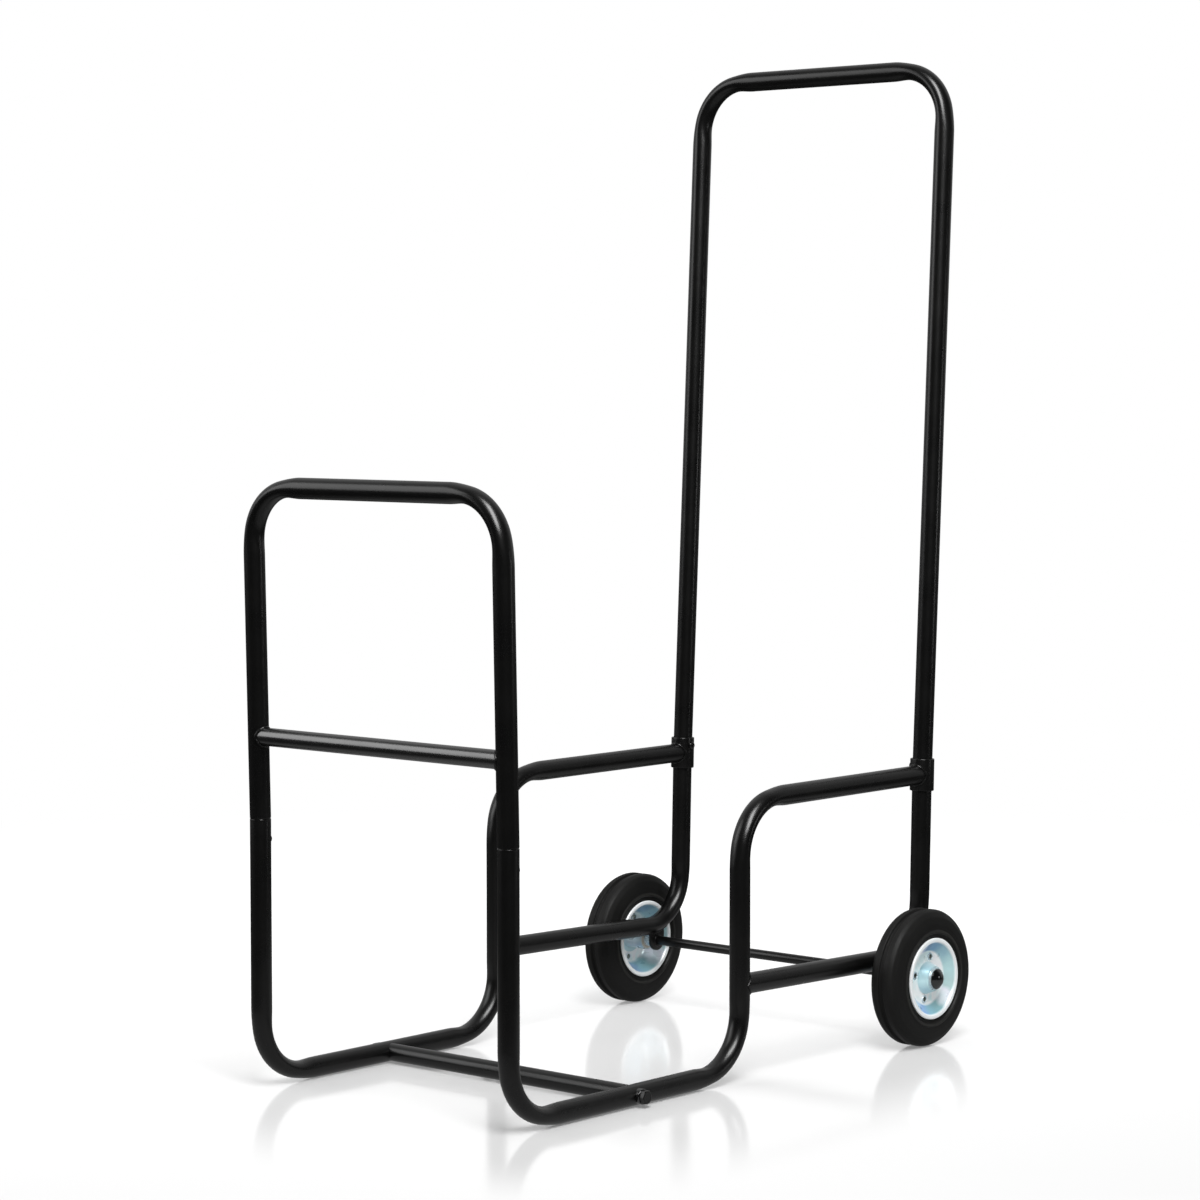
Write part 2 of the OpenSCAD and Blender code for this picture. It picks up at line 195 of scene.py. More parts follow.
def bend_path(turn, bend_r, ease=13.0, pitch=3.0, fine=8, lead=2.0):
    """A bend in its own plane, entered along X; its curvature grows and falls over its ends.

    Returns its places as (x, y, angle turned, distance inside the arc's ends) and the corner's x.
    The middle of a quarter bend stays where a plain arc of bend_r has it.
    """
    core = bend_r - 0.569 * ease ** 2 / bend_r
    length = core * turn
    count = round((length + 2 * ease) / pitch)
    step = (length + 2 * ease) / count / fine
    x = y = a = 0.0
    places = [(-lead, 0.0, 0.0, -ease - lead), (0.0, 0.0, 0.0, -ease)]
    for k in range(count * fine):
        s = (k + 0.5) * step - ease
        inside = min(s, length - s)
        half_turn = step * straight_ramp(inside / ease) / core / 2
        a += half_turn
        x, y = x + step * math.cos(a), y + step * math.sin(a)
        a += half_turn
        if (k + 1) % fine == 0:
            reached = (k + 1) * step - ease
            places.append((x, y, a, min(reached, length - reached)))
    corner_x = x - y / math.sin(turn) * math.cos(turn)
    places[-1] = (x, y, turn, -ease)
    places.append((x + lead * math.cos(turn), y + lead * math.sin(turn), turn, -ease - lead))
    return places, corner_x


def tube(corners, bends, r=TUBE_R, start=(), end=(), cope=(None, None), sides=48):
    """A bent tube's skin in the XZ plane through the corners, pressed oval in its bends.

    start and end are rings (distance along the tube from its end, radius) that shape its mouths.
    A cope is a function of the offset across the plane that gives how far the end is pulled back.
    """
    corners = [Vector(c) for c in corners]
    flat, swell = 0.17, 0.04  # shares of the radius lost in the bend's plane and won across it
    reach_out, reach_in = 15.0, 11.0  # the oval grows from before an arc's end to inside it
    stations = []  # point, direction, squeeze
    for i, c in enumerate(corners):
        inward = (c - corners[i - 1]).normalized() if i else None
        outward = (corners[i + 1] - c).normalized() if i < len(corners) - 1 else None
        if inward is None or outward is None:
            stations.append((c, outward or inward, 0.0))
            continue
        turn = math.atan2(inward.x * outward.y - inward.y * outward.x, inward.dot(outward))
        side = Vector((-inward.y, inward.x)) * math.copysign(1, turn)
        places, cut = bend_path(abs(turn), bends[i - 1])
        for x, y, a, inside in places:
            heading = inward * math.cos(a) + side * math.sin(a)
            squeeze = smooth((inside + reach_out) / (reach_out + reach_in))
            stations.append((c + inward * (x - cut) + side * y, heading, squeeze))

    def ring(point, heading, radius, squeezed=0.0, pull=None, sign=1):
        across = Vector((-heading.y, heading.x))
        out = []
        for a in circle(sides):
            u = radius * (1 - flat * squeezed) * math.cos(a)
            v = radius * (1 + swell * squeezed) * math.sin(a)
            p = point + across * u
            if pull:
                p = p + heading * pull(v) * sign
            out.append((p.x, v, p.y))
        return out

    (first, first_heading, _), (last, last_heading, _) = stations[0], stations[-1]
    rings = [ring(first + first_heading * d, first_heading, radius) for d, radius in start]
    if not start:
        rings.append(ring(first, first_heading, r, pull=cope[0]))
    rings += [ring(point, heading, r, squeezed) for point, heading, squeezed in stations[1:-1]]
    rings += [ring(last - last_heading * d, last_heading, radius) for d, radius in reversed(end)]
    if not end:
        rings.append(ring(last, last_heading, r, pull=cope[1], sign=-1))
    return loft(rings)


def bead(points, r, seed, closed=True, pitch=2.1, sides=12):
    """A weld bead with its ripples along a line of points, thinner at its ends where it isn't closed."""
    rng = random.Random(seed)
    points = [Vector(p) for p in points]
    count, spans = len(points), 8
    drift = [rng.uniform(-0.1, 0.1) for _ in range(spans + 1)]
    aside = Vector((0.31, 0.52, 0.79))  # no bead of the cart runs along it
    rings, run = [], 0.0
    for i, p in enumerate(points):
        before = points[i - 1] if closed or i else p
        after = points[(i + 1) % count] if closed or i < count - 1 else p
        heading = (after - before).normalized()
        run += (p - before).length
        side = heading.cross(aside).normalized()
        up = heading.cross(side)
        place = i / count * spans
        low = int(place)
        high = (low + 1) % spans if closed else low + 1
        slow = drift[low] * (1 - place % 1) + drift[high] * (place % 1)
        size = r * (0.93 + 0.12 * abs(math.sin(math.pi * run / pitch)) + 0.5 * slow)
        if not closed:
            size *= math.sqrt(max(0.02, 1 - (2 * i / (count - 1) - 1) ** 8))
        rings.append([p + (side * math.cos(a) + up * math.sin(a)) * size for a in circle(sides)])
    points, faces = loft(rings, wrap=closed)
    if not closed:
        faces += [tuple(range(sides)), tuple(range(len(points) - sides, len(points)))]
    return points, faces


def hexagon(a, across_corners):
    """Radius of a hexagon at angle a, with a corner on the X axis."""
    sixth = math.pi / 3
    return across_corners / 2 * math.cos(sixth / 2) / math.cos(a % sixth - sixth / 2)


BODY = {n: b for b, names in frame["record"]["behaviour"]["bodies"].items() for n in names}


def piece(name, solid, material, replaces=(), body="frame", centre=(MIDDLE_X, 0, 0), sharp=40):
    """Makes a visible piece. centre is the place of its object's origin before the shift to the middle."""
    centre = Vector(centre)
    mesh = bpy.data.meshes.new(name)
    mesh.from_pydata([(p - centre) * MM for p in solid[0]], [], solid[1])
    bm = bmesh.new()
    bm.from_mesh(mesh)
    bmesh.ops.remove_doubles(bm, verts=bm.verts, dist=2e-6)
    bmesh.ops.dissolve_degenerate(bm, edges=bm.edges, dist=1e-6)
    bmesh.ops.holes_fill(bm, edges=[edge for edge in bm.edges if edge.is_boundary], sides=0)
    bmesh.ops.recalc_face_normals(bm, faces=bm.faces)
    bm.to_mesh(mesh)
    bm.free()
    mesh.shade_smooth()
    mesh.set_sharp_from_angle(angle=math.radians(sharp))
    mesh.materials.append(material)
    obj = bpy.data.objects.new(name, mesh)
    bpy.context.scene.collection.objects.link(obj)
    obj.location = (centre - Vector((MIDDLE_X, 0, 0))) * MM
    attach(obj, BODY[replaces[0]] if replaces else body)
    if replaces:
        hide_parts(*replaces)
    return obj


# ---------------------------------------------------------------- shader helpers


def set_inputs(tree, made, inputs):
    """Gives a node's sockets their values, or links them to other nodes' outputs."""
    for key, value in inputs.items():
        if isinstance(value, bpy.types.NodeSocket):
            tree.links.new(value, made.inputs[key])
        else:
            made.inputs[key].default_value = value


def node(tree, kind, inputs=None, **settings):
    """Adds a node. inputs maps a socket to a value or to another node's output."""
    made = tree.nodes.new(kind)
    for key, value in settings.items():
        setattr(made, key, value)
    set_inputs(tree, made, inputs or {})
    return made


def object_place(tree):
    return node(tree, "ShaderNodeTexCoord").outputs["Object"]


def new_material(name):
    """A material, its node tree and shader, and the place on its object."""
    material = bpy.data.materials.new(name)
    material.use_nodes = True
    tree = material.node_tree
    return material, tree, tree.nodes["Principled BSDF"], object_place(tree)


def maths(tree, operation, *values):
    return node(tree, "ShaderNodeMath", dict(enumerate(values)), operation=operation).outputs[0]


def vector_maths(tree, operation, *values):
    made = node(tree, "ShaderNodeVectorMath", dict(enumerate(values)), operation=operation)
    return made.outputs["Value" if operation in ("LENGTH", "DOT_PRODUCT") else "Vector"]


def noise(tree, where, scale, detail=2.0, roughness=0.5, distortion=0.0):
    return node(tree, "ShaderNodeTexNoise", {"Vector": where, "Scale": scale, "Detail": detail,
                                             "Roughness": roughness, "Distortion": distortion}).outputs["Fac"]


def remap(tree, value, low, high, start=0.3, stop=0.7, eased=False):
    """Goes from low to high while value goes from start to stop."""
    return node(tree, "ShaderNodeMapRange", {"Value": value, "From Min": start, "From Max": stop,
                                             "To Min": low, "To Max": high},
                interpolation_type="SMOOTHSTEP" if eased else "LINEAR").outputs["Result"]


def ramp(tree, value, stops):
    made = node(tree, "ShaderNodeValToRGB", {"Fac": value})
    colours = made.color_ramp.elements
    while len(colours) < len(stops):
        colours.new(0.5)
    for element, (position, colour) in zip(colours, stops):
        element.position = position
        element.color = (*colour, 1)
    return made.outputs["Color"]


def two_tone(tree, value, first, second):
    return ramp(tree, value, [(0.3, first), (0.7, second)])


def mixed(tree, factor, first, second):
    """The first colour where factor is 0 and the second one where it is 1."""
    return node(tree, "ShaderNodeMix", {"Factor": factor, "A": first, "B": second},
                data_type="RGBA").outputs["Result"]


def bump(tree, height, distance, strength, normal=None):
    inputs = {"Height": height, "Distance": distance, "Strength": strength}
    if normal:
        inputs["Normal"] = normal
    return node(tree, "ShaderNodeBump", inputs).outputs["Normal"]


def from_axle(tree, where):
    """Distance from the axle's line, which runs along Y through a wheel piece's origin."""
    return vector_maths(tree, "LENGTH", vector_maths(tree, "MULTIPLY", where, (1, 0, 1)))


# ---------------------------------------------------------------- materials


def powder_coat(name="powder_coat", low=0.26, high=0.31, specular=0.54, ior=1.5):
    """Satin black powder coat with its orange peel. low and high bound its roughness."""
    material, tree, shader, where = new_material(name)
    peel = noise(tree, where, 520, 2.5)
    grain = noise(tree, where, 1900, 2)
    cloud = noise(tree, where, 24, 3)
    set_inputs(tree, shader, {
        "Base Color": two_tone(tree, cloud, (0.0014, 0.0014, 0.0014), (0.0023, 0.0023, 0.0022)),
        "Roughness": remap(tree, cloud, low, high),
        "Normal": bump(tree, peel, 0.00003, 0.3, bump(tree, grain, 0.00001, 0.3)),
        "Specular IOR Level": specular,
        "IOR": ior})
    return material


def zinc(name="zinc_plate"):
    """Bright zinc plating, satin rather than mirror-like, in the blue-white of its passivated film."""
    material, tree, shader, where = new_material(name)
    film = noise(tree, where, 40, 2, 0.45, 0.8)
    set_inputs(tree, shader, {
        "Base Color": ramp(tree, film, [(0.32, (0.56, 0.70, 0.80)), (0.5, (0.70, 0.82, 0.86)),
                                        (0.68, (0.84, 0.90, 0.94))]),
        "Metallic": 0.6,
        "Roughness": remap(tree, noise(tree, where, 60, 3), 0.24, 0.34),
        "Normal": bump(tree, noise(tree, where, 900, 3), 0.00002, 0.25)})
    return material


def rivet_zinc_painted_shade():
    """Zinc plating with painted shade in the rivets' bores, where its colour is darkened."""
    bore_shade_edge = (0.0026, 0.0030)
    material = zinc("rivet_zinc_painted_shade")
    tree = material.node_tree
    shader = tree.nodes["Principled BSDF"]
    # The rivets are turned back onto the X and Z axes, and folded onto one of them
    turned_back = node(tree, "ShaderNodeVectorRotate", {"Vector": object_place(tree), "Angle": RIVET_ANGLE},
                       rotation_type="Y_AXIS").outputs[0]
    axes = node(tree, "ShaderNodeSeparateXYZ", {0: vector_maths(tree, "ABSOLUTE", turned_back)}).outputs
    along = maths(tree, "MAXIMUM", axes["X"], axes["Z"])
    along = maths(tree, "SUBTRACT", along, RIVET_CIRCLE_R * MM)
    aside = maths(tree, "MINIMUM", axes["X"], axes["Z"])
    offset = node(tree, "ShaderNodeCombineXYZ", {0: along, 1: aside}).outputs[0]
    out = remap(tree, vector_maths(tree, "LENGTH", offset), 0, 1, *bore_shade_edge)
    plating = shader.inputs["Base Color"].links[0].from_socket
    # Painted shade: the plating's colour is mixed to a dark grey inside the bores
    set_inputs(tree, shader, {"Base Color": mixed(tree, out, (0.18, 0.21, 0.19, 1), plating)})
    return material


def rim_zinc():
    """The rims' zinc: the passivated film's tint, with painted reflections, a painted highlight streak and
    painted shade by angle round the dish's wall and its neck.
    """
    # Radii over which one zone's colour gives way to the next one's
    neck_edge, floor_edge, lip_edge = (0.0174, 0.0186), (0.0290, 0.0312), (0.0392, 0.0405)
    seam = math.radians(200)  # the angle at which the colours round the wall start again
    wander = 0.7
    # Painted reflections and shade on the film's tint: dark blue crescents and a white highlight streak at
    # fixed angles round the wall
    wall_tint_and_painted_light = [
        (0.0, (0.75, 0.84, 0.88)), (0.07, (0.39, 0.56, 0.72)), (0.125, (0.21, 0.37, 0.66)),
        (0.19, (0.23, 0.45, 0.54)), (0.26, (0.28, 0.48, 0.51)), (0.31, (0.67, 0.75, 0.79)),
        (0.35, (0.71, 0.73, 0.80)), (0.40, (0.42, 0.57, 0.57)), (0.50, (0.50, 0.74, 0.76)),
        (0.60, (0.34, 0.56, 0.67)), (0.66, (0.20, 0.38, 0.57)), (0.715, (0.13, 0.23, 0.43)),
        (0.745, (0.42, 0.50, 0.68)), (0.77, (0.88, 0.90, 0.96)), (1.0, (0.75, 0.84, 0.88))]
    floor_film = [(0.36, (0.74, 0.90, 0.91)), (0.5, (0.95, 0.98, 0.98)), (0.66, (0.97, 0.97, 0.99))]
    # Painted highlight and shade on the film's tint: the neck is lighter on one side and has a dark band on
    # the other
    neck_tint_and_painted_light = [
        (0.0, (0.56, 0.78, 0.82)), (0.3, (0.52, 0.72, 0.76)), (0.68, (0.46, 0.60, 0.63)),
        (0.82, (0.25, 0.42, 0.48)), (0.93, (0.50, 0.72, 0.77)), (1.0, (0.56, 0.78, 0.82))]

    material, tree, shader, where = new_material("rim_zinc")
    axes = node(tree, "ShaderNodeSeparateXYZ", {0: where}).outputs
    angle = maths(tree, "ARCTAN2", axes["Z"], axes["X"])
    drift = maths(tree, "MULTIPLY", noise(tree, where, 70, 2), wander)
    angle = maths(tree, "ADD", angle, drift)
    turn = remap(tree, angle, 0, 1, seam - 2 * math.pi + wander / 2, seam + wander / 2)
    away = from_axle(tree, where)
    floor = ramp(tree, noise(tree, where, 45, 2, 0.45, 0.8), floor_film)
    colour = mixed(tree, remap(tree, away, 0, 1, *neck_edge), ramp(tree, turn, neck_tint_and_painted_light), floor)
    colour = mixed(tree, remap(tree, away, 0, 1, *floor_edge), colour, ramp(tree, turn, wall_tint_and_painted_light))
    colour = mixed(tree, remap(tree, away, 0, 1, *lip_edge), colour, (0.87, 0.90, 0.91, 1))
    lines = node(tree, "ShaderNodeTexNoise", {"W": away, "Scale": 2600, "Detail": 2},
                 noise_dimensions="1D").outputs["Fac"]
    set_inputs(tree, shader, {
        "Base Color": colour,
        "Metallic": 0.15,
        "Roughness": remap(tree, noise(tree, where, 60, 3), 0.26, 0.36),
        "Normal": bump(tree, lines, 0.000015, 0.2, bump(tree, noise(tree, where, 900, 3), 0.00002, 0.2))})
    return material


def rubber():
    """Solid black rubber with a fine moulded grain and a little dust in it, with a painted highlight on the
    bead ring.
    """
    ring_r, ring_highlight_edge = 0.0519, (0.0006, 0.0018)
    material, tree, shader, where = new_material("rubber")
    cloud = noise(tree, where, 45, 4)
    grain = noise(tree, where, 1400, 3, 0.6)
    off_ring_highlight = maths(tree, "ABSOLUTE", maths(tree, "SUBTRACT", from_axle(tree, where), ring_r))
    body = two_tone(tree, cloud, (0.0040, 0.0040, 0.0037), (0.0058, 0.0058, 0.0054))
    # Painted highlight: the bead ring's band is coloured several times paler than the rest of the rubber
    ring = two_tone(tree, cloud, (0.015, 0.015, 0.014), (0.021, 0.021, 0.019))
    set_inputs(tree, shader, {
        "Base Color": mixed(tree, remap(tree, off_ring_highlight, 1, 0, *ring_highlight_edge), body, ring),
        "Roughness": remap(tree, cloud, 0.5, 0.62),
        "Normal": bump(tree, grain, 0.00006, 0.5),
        "Specular IOR Level": 0.28})
    return material


def gloss_plastic():
    """Polished black moulded plastic with faint sinks and hairline scuffs."""
    material, tree, shader, where = new_material("gloss_plastic")
    wave = noise(tree, where, 140, 1)
    scuff = noise(tree, where, 700, 5, 0.7, 1.2)
    set_inputs(tree, shader, {
        "Base Color": two_tone(tree, wave, (0.0022, 0.0022, 0.0025), (0.0036, 0.0036, 0.004)),
        "Roughness": remap(tree, scuff, 0.06, 0.13),
        "Normal": bump(tree, wave, 0.00005, 0.3),
        "Specular IOR Level": 1.0,
        "IOR": 1.6})
    return material


def nylon():
    """Off-white turned nylon, slightly waxy."""
    material, tree, shader, where = new_material("nylon")
    cloud = noise(tree, where, 200, 3)
    set_inputs(tree, shader, {
        "Base Color": two_tone(tree, cloud, (0.55, 0.53, 0.46), (0.64, 0.62, 0.55)),
        "Roughness": remap(tree, cloud, 0.45, 0.55),
        "Normal": bump(tree, noise(tree, where, 1500, 2), 0.00005, 0.4),
        "Subsurface Weight": 0.1,
        "Subsurface Radius": (0.002, 0.0015, 0.001)})
    return material


COAT = powder_coat()
SMOOTH_COAT = powder_coat("powder_coat_smooth", low=0.22, high=0.27, specular=1.0, ior=1.7)
RIM_ZINC, RIVET_ZINC_PAINTED_SHADE, ZINC = rim_zinc(), rivet_zinc_painted_shade(), zinc()
RUBBER, CAP, NYLON = rubber(), gloss_plastic(), nylon()
STEEL_SLOT, ZINC_SLOT = "powder_coated_steel", "zinc_plated_steel"

# ---------------------------------------------------------------- frame tubes

TO_LEFT = Matrix.Translation((0, -HALF_W, 0))
LEG = Matrix.Translation((LEG_X, -HALF_W, BRACE_Z)) @ Matrix.Rotation(LEG_LEAN, 4, "Y")
# Leaning coordinates with their origin where a rear post crosses its shelf rail
ON_REAR_POST = Matrix.Translation((FRAME_L, -HALF_W, SHELF_Z)) @ Matrix.Rotation(LEG_LEAN, 4, "Y")
YZ_PLANE = Matrix.Rotation(math.pi / 2, 4, "Z")

# Rings (distance from the tube's end, radius) of an open mouth and of a swaged end with its spigot
MOUTH = [(12, BORE_R), (0.4, BORE_R), (0.05, BORE_R + 0.3), (0, BORE_R + 0.7), (0.12, TUBE_R - 0.2),
         (0.4, TUBE_R - 0.05), (0.8, TUBE_R)]
SWAGE = [(-14, SPIGOT_R), (-0.4, SPIGOT_R), (0.2, SPIGOT_R + 0.25), (0.4, SPIGOT_R + 0.9),
         (0.5, TUBE_R - 0.5), (0.65, TUBE_R - 0.2), (1.0, TUBE_R - 0.05), (1.8, TUBE_R)]
PLAIN_END = [(2, TUBE_R), (30, TUBE_R)]


def into(other_r):
    """How far a tube stops short of the axis of a crossing tube, at an offset from it."""
    return lambda v: math.sqrt(max(other_r ** 2 - v ** 2, 0))


def hoop(height, bend_r, end):
    """An inverted U in the YZ plane with its seams at z = 0."""
    return moved(tube([(-HALF_W, 0), (-HALF_W, height), (HALF_W, height), (HALF_W, 0)], [bend_r, bend_r],
                      start=end, end=end), YZ_PLANE)


def cross_tube(x, z, roll=0.0):
    """A straight tube between the sides, coped to upright tubes, or to the floor rails by a quarter roll."""
    cope = into(TUBE_R - COPE_DEPTH)
    return moved(tube([(-HALF_W, 0), (HALF_W, 0)], [], r=CROSS_R, cope=(cope, cope)),
                 Matrix.Translation((x, 0, z)) @ YZ_PLANE @ Matrix.Rotation(roll, 4, "X"))


rail = moved(tube([(0, SOCKET_Z), (0, TUBE_R), (BAY_L, TUBE_R), (BAY_L, SHELF_Z), (FRAME_L, SHELF_Z)],
                  [BEND_R, RISER_FOOT_R, RISER_TOP_R], start=MOUTH, cope=(None, into(COLLAR_R - COPE_DEPTH))),
             TO_LEFT)
leg = moved(tube([(-BRACE_L, 0), (0, 0), (0, LEG_H)], [BEND_R], cope=(into(TUBE_R - COPE_DEPTH), None)), LEG)
post_fit, handle_fit, fit_step = TUBE_R, TUBE_R + COLLAR_PLAY, 2
collar = moved(lathe(rounded([
    (post_fit, -COLLAR_H / 2, 0.3), (COLLAR_R, -COLLAR_H / 2, 0.9), (COLLAR_R, COLLAR_H / 2, 0.9),
    (handle_fit, COLLAR_H / 2, 0.4), (handle_fit, fit_step), (post_fit, fit_step)])), ON_REAR_POST)
for side, word in SIDES:
    piece(f"side_rail_{word}_look", on_side(rail, side), COAT, [f"side_rail_{word}"])
    piece(f"rear_leg_{word}_look", on_side(leg, side), COAT, [f"rear_leg_{word}"])
    piece(f"post_collar_{word}_look", on_side(collar, side), COAT, [f"post_collar_{word}"])

front = moved(hoop((HOOP_Z - SOCKET_Z) / math.cos(HOOP_LEAN), HOOP_BEND_R, SWAGE),
              Matrix.Translation((0, 0, SOCKET_Z)) @ Matrix.Rotation(-HOOP_LEAN, 4, "Y"))
piece("front_hoop_look", front, COAT, ["front_hoop"])

handle = moved(hoop((HANDLE_Z - SHELF_Z) / math.cos(HANDLE_LEAN), HANDLE_BEND_R, PLAIN_END),
               Matrix.Translation((FRAME_L, 0, SHELF_Z)) @ Matrix.Rotation(HANDLE_LEAN, 4, "Y"))
piece("handle_hoop_look", handle, COAT, ["handle_hoop"])

piece("front_crossbar_look", cross_tube(CROSSBAR_X, CROSSBAR_Z), SMOOTH_COAT, ["front_crossbar"])
piece("bottom_cross_tube_look", cross_tube(CROSS_X, TUBE_R, roll=math.pi / 2), COAT,
      ["bottom_cross_tube"])

# ---------------------------------------------------------------- brackets and welds

BRACKET_R = 12


def bracket():
    """The left axle bracket: a plate with a round foot at the axle and its top under the brace's bend."""
    layers = ((-2, 0.6), (-1.8, 0.2), (-1.4, 0), (1.4, 0), (1.8, 0.2), (2, 0.6))  # offset, inset
    outline = [(AXLE_X + BRACKET_R * math.cos(a), WHEEL_R + BRACKET_R * math.sin(a))
               for a in (math.pi + math.pi * k / 24 for k in range(25))]
    outline += [(AXLE_X + x, z) for x, z in ((BRACKET_R, 97.0), (4, 93.0), (-4, 91.0), (-BRACKET_R, 90.0))]
    rings = []
    for y, inset in layers:
        shrink = 1 - inset / BRACKET_R
        rings.append([(AXLE_X + (x - AXLE_X) * shrink, y - HALF_W, WHEEL_R + (z - WHEEL_R) * shrink)
                      for x, z in outline])
    points, faces = loft(rings)
    n = len(outline)
    faces += [tuple(range(n)), tuple(range(len(points) - n, len(points)))]
    return points, faces


def saddle(other_r, own_r, steps=72):
    """Points (along, v, u) of the line where a tube of own_r meets one of other_r that crosses it."""
    reach = into(other_r)
    return [(reach(own_r * math.sin(a)), own_r * math.sin(a), own_r * math.cos(a)) for a in circle(steps)]


def brace_underside(x_from, x_to, across, steps=40):
    """Points under the brace's bend, given by their X along the leg, this far from its middle plane."""
    reach = BEND_R + TUBE_R * 0.86  # the tube is flatter there
    out = []
    for k in range(steps):
        x = x_from + (x_to - x_from) * k / (steps - 1)
        sine = min((x + BEND_R) / BEND_R, 0.95)
        out.append((-BEND_R + reach * sine, across, BEND_R - reach * math.sqrt(1 - sine ** 2)))
    return out


def weld_beads():
    """The left side's beads. Their lines stand a little off the joints, so that they show."""
    crossbar_to_hoop = [(CROSSBAR_X + v, -HALF_W + along + 0.35, CROSSBAR_Z + u * 1.02)
                        for along, v, u in saddle(TUBE_R, CROSS_R + 0.3)]
    foot, lean = LEG @ Vector((-BRACE_L, 0, 0)), Matrix.Rotation(LEG_LEAN, 4, "Y")
    brace_to_riser = [lean @ Vector((along + 0.3, v, u)) + foot
                      for along, v, u in saddle(TUBE_R + 0.2, TUBE_R + 0.2)]
    rail_to_collar = [(FRAME_L - along - 0.3, -HALF_W + v, SHELF_Z + u)
                      for along, v, u in saddle(COLLAR_R, TUBE_R + 0.3)]
    welds = [bead(crossbar_to_hoop, 1.35, seed=3), bead(brace_to_riser, 1.5, seed=5),
             bead(rail_to_collar, 1.4, seed=7)]
    # On both faces of the bracket
    bracket_face, brace_reach, axle_weld_r = 2.6, BRACKET_R + 1, AXLE_R + 0.5
    for across, brace_seed, axle_seed in ((-bracket_face, 9, 15), (bracket_face, 13, 19)):
        under = brace_underside(AXLE_X - brace_reach - LEG_X, AXLE_X + brace_reach - LEG_X, across)
        welds.append(bead([LEG @ Vector(p) for p in under], 1.4, seed=brace_seed, closed=False))
        round_axle = [(AXLE_X + axle_weld_r * math.cos(a), -HALF_W + across * 0.92,
                       WHEEL_R + axle_weld_r * math.sin(a)) for a in circle(48)]
        welds.append(bead(round_axle, 1.1, seed=axle_seed))
    return join(*welds)


left_bracket, left_welds = bracket(), weld_beads()
for side, word in SIDES:
    piece(f"axle_bracket_{word}_look", on_side(left_bracket, side), COAT,
          [f"axle_bracket_{word}"])
    piece(f"weld_beads_{word}", on_side(left_welds, side), COAT)

# ---------------------------------------------------------------- fasteners


def button_screw():
    """Domed head with a hexagon socket, base at the origin, pointing along Z."""
    socket = 3.0
    return turned([
        (2.4, -3), (2.4, 0), (4.3, 0), (4.5, 0.3), (4.45, 0.8), (4.1, 1.5), (3.4, 2.1), (2.6, 2.45),
        (2.0, 2.6), lambda a: (hexagon(a, socket + 0.1) + 0.15, 2.6), lambda a: (hexagon(a, socket), 2.4),
        lambda a: (hexagon(a, socket), 1.1), (0, 0.7)])


def hex_bolt():
    """Chamfered hexagon head on a round bearing face, base at the origin, pointing along Z."""
    across = 15.0
    return turned([
        (4, -20), (4, 0), (6.4, 0), (6.4, 0.35),
        lambda a: (min(hexagon(a, across), 6.9), 0.4),
        lambda a: (hexagon(a, across) - 0.05, 0.4 + (hexagon(a, across) - 6.4) * 0.4),
        lambda a: (hexagon(a, across), 5.4 - (hexagon(a, across) - 6.2) * 0.6),
        (6.25, 5.4), (5.9, 5.5), (4.6, 5.5), (4.2, 5.3), (0, 5.3)], steps=72)


def saddle_washer():
    """Spacer along Z from the rail's axis, hollow where the rail lies and flat for the bolt's head."""
    bore, rim = 4.2, 8.0

    def foot(r, a):
        return math.sqrt(TUBE_R ** 2 - (r * math.sin(a)) ** 2) - 0.2

    return turned([
        lambda a: (bore, foot(bore, a)), lambda a: (rim - 0.2, foot(rim - 0.2, a)),
        lambda a: (rim, foot(rim, a) + 0.3), (rim, WASHER_FACE - 0.9), (rim - 0.1, WASHER_FACE - 0.4),
        (rim - 0.4, WASHER_FACE - 0.1), (rim - 0.9, WASHER_FACE), (bore, WASHER_FACE)], steps=64, wrap=True)


OUTWARD = Matrix.Rotation(math.pi / 2, 4, "X")  # local Z points to -Y
TO_REAR = Matrix.Rotation(math.pi / 2, 4, "Y")
INWARD = Matrix.Rotation(-math.pi / 2, 4, "X")

bolt = moved(hex_bolt(), Matrix.Translation((CROSS_X, -HALF_W - WASHER_FACE, TUBE_R)) @ OUTWARD)
piece("cross_tube_bolts_look", both_sides(bolt), COAT, ["cross_tube_bolts"], sharp=25)
washer = moved(saddle_washer(), Matrix.Translation((CROSS_X, -HALF_W, TUBE_R)) @ OUTWARD)
piece("curved_washers_look", both_sides(washer), CAP, ["curved_washers"])
below_seam, above_rail = 22, 9
screw = moved(button_screw(), Matrix.Translation((TUBE_R, -HALF_W, SOCKET_Z - below_seam)) @ TO_REAR)
piece("hoop_screws_look", both_sides(screw), COAT, ["hoop_screws"], sharp=30)
screw = moved(button_screw(), ON_REAR_POST @ Matrix.Translation((0, COLLAR_R, above_rail)) @ INWARD)
piece("collar_screws_look", both_sides(screw), COAT, ["collar_screws"], sharp=30)

# ---------------------------------------------------------------- axle

ON_WHEEL = Matrix.Translation((AXLE_X, -HALF_W - WHEEL_OFFSET, WHEEL_R)) @ OUTWARD


def sleeve(inner, outer, low, high, corner):
    return lathe(rounded([(inner, low, corner), (outer, low, corner),
                          (outer, high, corner), (inner, high, corner)]), 64)


